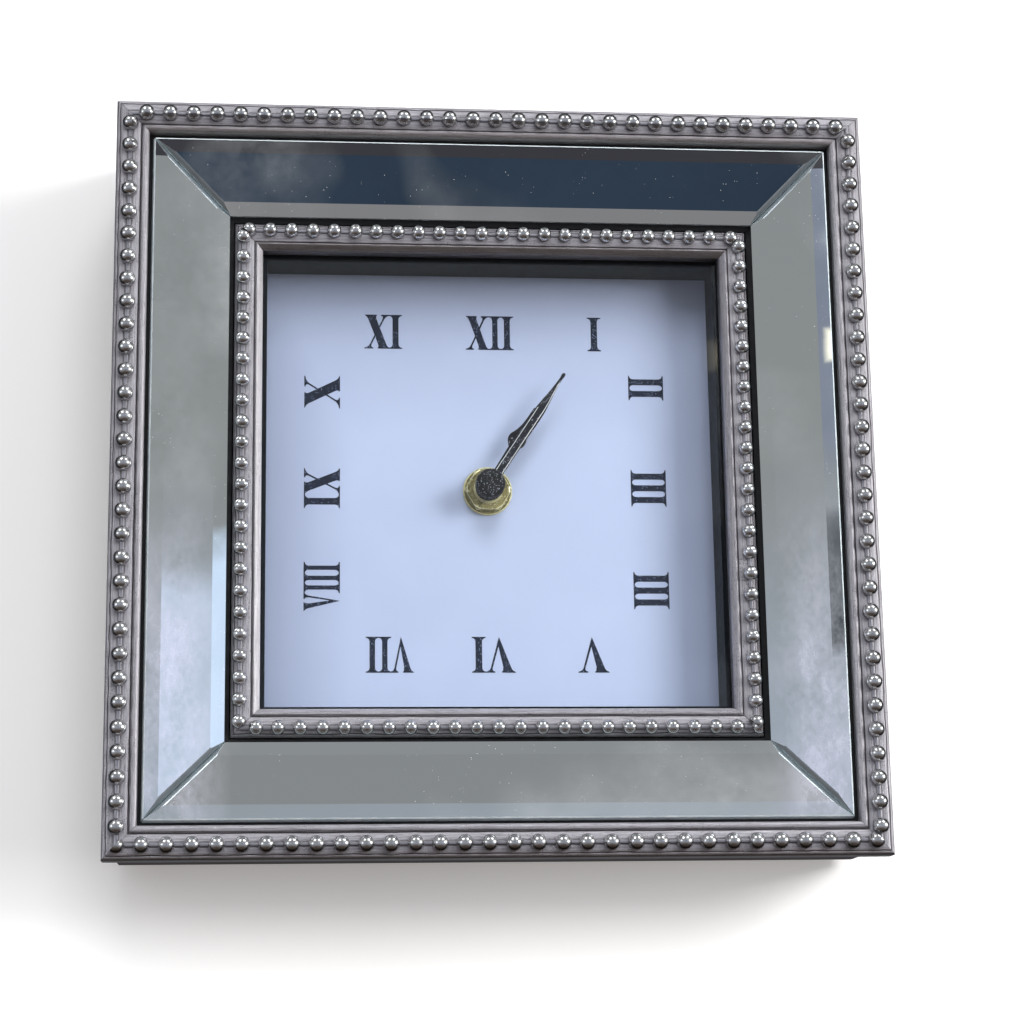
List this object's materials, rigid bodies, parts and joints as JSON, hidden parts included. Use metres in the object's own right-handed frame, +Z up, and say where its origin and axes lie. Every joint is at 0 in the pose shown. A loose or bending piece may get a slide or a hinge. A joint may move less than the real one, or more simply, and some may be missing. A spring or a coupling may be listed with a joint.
{
  "type": "wall clock",
  "caption": "Square wall clock with two beaded pewter mouldings, bevelled mirror panels between them and a recessed white dial with Roman numerals.",
  "frame": {"origin": "middle of the box's base, under the clock standing on its lower edge", "axes": "+X to the viewer's right, -Y out of the dial towards the viewer, +Z up towards twelve o'clock"},
  "size_m": [0.2, 0.0462, 0.2],
  "materials": {
    "moulding": "foiled in antique pewter with a fine brushed grain",
    "beads": "polished warm pewter",
    "mirror_glass": "silvered glass with ground bevels",
    "frame_wood": "stained dark",
    "clear_glass": "clear",
    "recess_paint": "matt dark slate",
    "dial_paper": "satin white",
    "dial_ink": "printed near-black",
    "board": "bare hardboard",
    "steel": "zinc plated",
    "pads": "soft",
    "case_plastic": "moulded black",
    "brass": "bright, a little tarnished",
    "rubber": "matt",
    "wheel_plastic": "natural acetal",
    "magnet": "dark sintered",
    "copper": "enamelled copper wire",
    "board_green": "lacquered",
    "cell_wrap": "plain wrapped steel",
    "hand_paint": "rough black enamel"
  },
  "bodies": {
    "clock_body": {"outer_rail_top": "moulding", "outer_rail_right": "moulding", "outer_rail_bottom": "moulding", "outer_rail_left": "moulding", "outer_beads_top": "beads", "outer_beads_right": "beads", "outer_beads_bottom": "beads", "outer_beads_left": "beads", "mirror_top": "mirror_glass", "mirror_right": "mirror_glass", "mirror_bottom": "mirror_glass", "mirror_left": "mirror_glass", "inner_rail_top": "moulding", "inner_rail_right": "moulding", "inner_rail_bottom": "moulding", "inner_rail_left": "moulding", "inner_beads_top": "beads", "inner_beads_right": "beads", "inner_beads_bottom": "beads", "inner_beads_left": "beads", "frame_rail_top": "frame_wood", "frame_rail_right": "frame_wood", "frame_rail_bottom": "frame_wood", "frame_rail_left": "frame_wood", "dial_glass": "clear_glass", "recess_liner": "recess_paint", "dial_card": "dial_paper", "dial_numerals": "dial_ink", "dial_board": "board", "button_screws": "steel", "corner_pads": "pads", "hanger": "steel", "hanger_nails": "steel", "movement_case": "case_plastic", "movement_lid": "case_plastic", "stem_bushing": "brass", "gasket": "rubber", "washer": "brass", "hex_nut": "brass", "stator": "steel", "coil": "copper", "circuit_board": "board_green", "battery_contacts": "steel"},
    "minute_work": {"minute_arbor": "brass", "minute_hand": "hand_paint", "cap_nut": "hand_paint"},
    "hour_work": {"hour_wheel": "wheel_plastic", "hour_hand": "hand_paint"},
    "motion_work": {"motion_wheel": "wheel_plastic", "setting_knob": "case_plastic"},
    "cell": {"battery": "cell_wrap"},
    "centre_wheel_body": {"centre_wheel": "wheel_plastic"},
    "third_wheel_body": {"third_wheel": "wheel_plastic"},
    "seconds_wheel_body": {"seconds_wheel": "wheel_plastic"},
    "intermediate_wheel_body": {"intermediate_wheel": "wheel_plastic"},
    "rotor_body": {"rotor": "magnet"},
    "button_top": {"turn_button_top": "brass"},
    "button_right": {"turn_button_right": "brass"},
    "button_bottom": {"turn_button_bottom": "brass"},
    "button_left": {"turn_button_left": "brass"}
  },
  "joints": [
    {"name": "minute_spin", "type": "hinge", "parent": "clock_body", "child": "minute_work", "pos_m": [-0.0009, 0.00387, 0.0997], "axis": [0, 1, 0], "continuous": true},
    {"name": "hour_spin", "type": "hinge", "parent": "clock_body", "child": "hour_work", "pos_m": [-0.0009, 0.00387, 0.0997], "axis": [0, 1, 0], "continuous": true},
    {"name": "motion_spin", "type": "hinge", "parent": "clock_body", "child": "motion_work", "pos_m": [-0.01009, 0.01487, 0.10741], "axis": [0, 1, 0], "continuous": true},
    {"name": "centre_spin", "type": "hinge", "parent": "clock_body", "child": "centre_wheel_body", "pos_m": [-0.0009, 0.01328, 0.0997], "axis": [0, 1, 0], "continuous": true},
    {"name": "third_spin", "type": "hinge", "parent": "clock_body", "child": "third_wheel_body", "pos_m": [0.00737, 0.01547, 0.10664], "axis": [0, 1, 0], "continuous": true},
    {"name": "seconds_spin", "type": "hinge", "parent": "clock_body", "child": "seconds_wheel_body", "pos_m": [-0.0009, 0.01727, 0.0997], "axis": [0, 1, 0], "continuous": true},
    {"name": "intermediate_spin", "type": "hinge", "parent": "clock_body", "child": "intermediate_wheel_body", "pos_m": [-0.00236, 0.01908, 0.10797], "axis": [0, 1, 0], "continuous": true},
    {"name": "rotor_spin", "type": "hinge", "parent": "clock_body", "child": "rotor_body", "pos_m": [-0.00081, 0.01827, 0.11377], "axis": [0, 1, 0], "continuous": true},
    {"name": "button_top_turn", "type": "hinge", "parent": "clock_body", "child": "button_top", "pos_m": [0, 0.00758, 0.1685], "axis": [0, 1, 0], "range_deg": [0, 90]},
    {"name": "button_right_turn", "type": "hinge", "parent": "clock_body", "child": "button_right", "pos_m": [0.0685, 0.00758, 0.1], "axis": [0, 1, 0], "range_deg": [0, 90]},
    {"name": "button_bottom_turn", "type": "hinge", "parent": "clock_body", "child": "button_bottom", "pos_m": [0, 0.00758, 0.0315], "axis": [0, 1, 0], "range_deg": [0, 90]},
    {"name": "button_left_turn", "type": "hinge", "parent": "clock_body", "child": "button_left", "pos_m": [-0.0685, 0.00758, 0.1], "axis": [0, 1, 0], "range_deg": [0, 90]},
    {"name": "battery_out", "type": "slide", "parent": "clock_body", "child": "cell", "axis": [0, 1, 0], "range_m": [0, 0.02]}
  ],
  "couplings": [
    {"joint": "hour_spin", "follows": "minute_spin", "ratio": 0.083333},
    {"joint": "motion_spin", "follows": "minute_spin", "ratio": -0.33333},
    {"joint": "rotor_spin", "follows": "intermediate_spin", "ratio": -5},
    {"joint": "seconds_spin", "follows": "intermediate_spin", "ratio": -0.16667},
    {"joint": "third_spin", "follows": "intermediate_spin", "ratio": 0.022222},
    {"joint": "centre_spin", "follows": "intermediate_spin", "ratio": -0.0027778}
  ]
}
